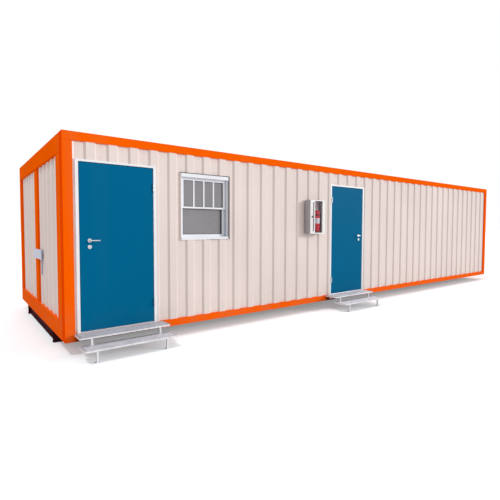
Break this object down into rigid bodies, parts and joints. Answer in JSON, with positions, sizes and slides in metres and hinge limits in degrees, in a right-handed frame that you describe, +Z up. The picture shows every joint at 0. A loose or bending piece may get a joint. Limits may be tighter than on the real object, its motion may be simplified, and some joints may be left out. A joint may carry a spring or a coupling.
{
  "type": "portable site cabin",
  "caption": "Long flat-roofed portable cabin on skids: ribbed cream walls in an orange steel frame, two blue doors with steps, a window and an extinguisher cabinet.",
  "frame": {"origin": "on the ground under the skids, in the middle of the area that the cabin and its door steps cover", "axes": "+X along the long front wall to the right as seen from the front, +Y from the front wall with the doors to the back wall, +Z up"},
  "size_m": [12.19, 4.128, 2.76],
  "materials": {
    "frame_orange": "satin orange paint on folded steel",
    "sheet_cream": "cream coil coated profiled sheet",
    "skid_maroon": "dark red oxide primer, dull",
    "door_blue": "satin blue paint",
    "trim_white": "white powder coat",
    "satin_steel": "satin stainless",
    "window_white": "white frame profile",
    "window_pane": "clear glass, grey in reflection",
    "cabinet_white": "white powder coat",
    "knob_black": "black moulded knob",
    "bottle_red": "gloss red paint",
    "tread_steel": "galvanised sheet",
    "deck_grey": "grey floor covering"
  },
  "bodies": {
    "cabin": {"skids": "skid_maroon", "cross_bearers": "skid_maroon", "floor_joists": "skid_maroon", "floor_deck": "deck_grey", "side_bottom_rails": "frame_orange", "end_bottom_rails": "frame_orange", "side_top_rails": "frame_orange", "end_top_rails": "frame_orange", "corner_posts": "frame_orange", "corner_covers": "frame_orange", "end_mid_posts": "frame_orange", "roof": "sheet_cream", "left_end_bays": "sheet_cream", "right_end_bays": "sheet_cream", "back_wall": "sheet_cream", "front_wall_corner_strip": "sheet_cream", "front_wall_over_door_1": "sheet_cream", "front_wall_door_1_to_window": "sheet_cream", "front_wall_under_window": "sheet_cream", "front_wall_over_window": "sheet_cream", "front_wall_window_to_door_2": "sheet_cream", "front_wall_over_door_2": "sheet_cream", "front_wall_right_run": "sheet_cream", "door_1_frame": "trim_white", "door_2_frame": "trim_white", "window_frame": "window_white", "window_sashes": "window_white", "window_glass": "window_pane", "cabinet_box": "cabinet_white", "extinguisher_bottle": "bottle_red", "extinguisher_valve": "knob_black", "step_1_treads": "tread_steel", "step_2_treads": "tread_steel", "step_1_posts": "trim_white", "step_2_posts": "trim_white", "lock_plate": "trim_white"},
    "door_1": {"door_1_leaf": "door_blue", "door_1_roses": "satin_steel"},
    "door_1_handle": {"door_1_lever": "satin_steel"},
    "door_2": {"door_2_leaf": "door_blue", "door_2_roses": "satin_steel"},
    "door_2_handle": {"door_2_lever": "satin_steel"},
    "cabinet_door": {"cabinet_door": "cabinet_white", "cabinet_panes": "window_pane", "cabinet_knob": "knob_black"}
  },
  "joints": [
    {"name": "door_1_swing", "type": "hinge", "parent": "cabin", "child": "door_1", "pos_m": [-4.911, -1.603, 1.3365], "axis": [0, 0, 1], "range_deg": [0, 110]},
    {"name": "door_1_lever_turn", "type": "hinge", "parent": "door_1", "child": "door_1_handle", "pos_m": [-5.78, -1.5635, 1.42], "axis": [0, 1, 0], "range_deg": [0, 40], "stiffness_Nm_per_rad": 1.5, "springref_deg": -17.19},
    {"name": "door_2_swing", "type": "hinge", "parent": "cabin", "child": "door_2", "pos_m": [-1.125, -1.603, 1.3365], "axis": [0, 0, -1], "range_deg": [0, 110]},
    {"name": "door_2_lever_turn", "type": "hinge", "parent": "door_2", "child": "door_2_handle", "pos_m": [-0.256, -1.5635, 1.42], "axis": [0, -1, 0], "range_deg": [0, 40], "stiffness_Nm_per_rad": 1.5, "springref_deg": -17.19},
    {"name": "cabinet_door_swing", "type": "hinge", "parent": "cabin", "child": "cabinet_door", "pos_m": [-1.492, -1.7135, 1.786], "axis": [0, 0, 1], "range_deg": [0, 100]}
  ]
}
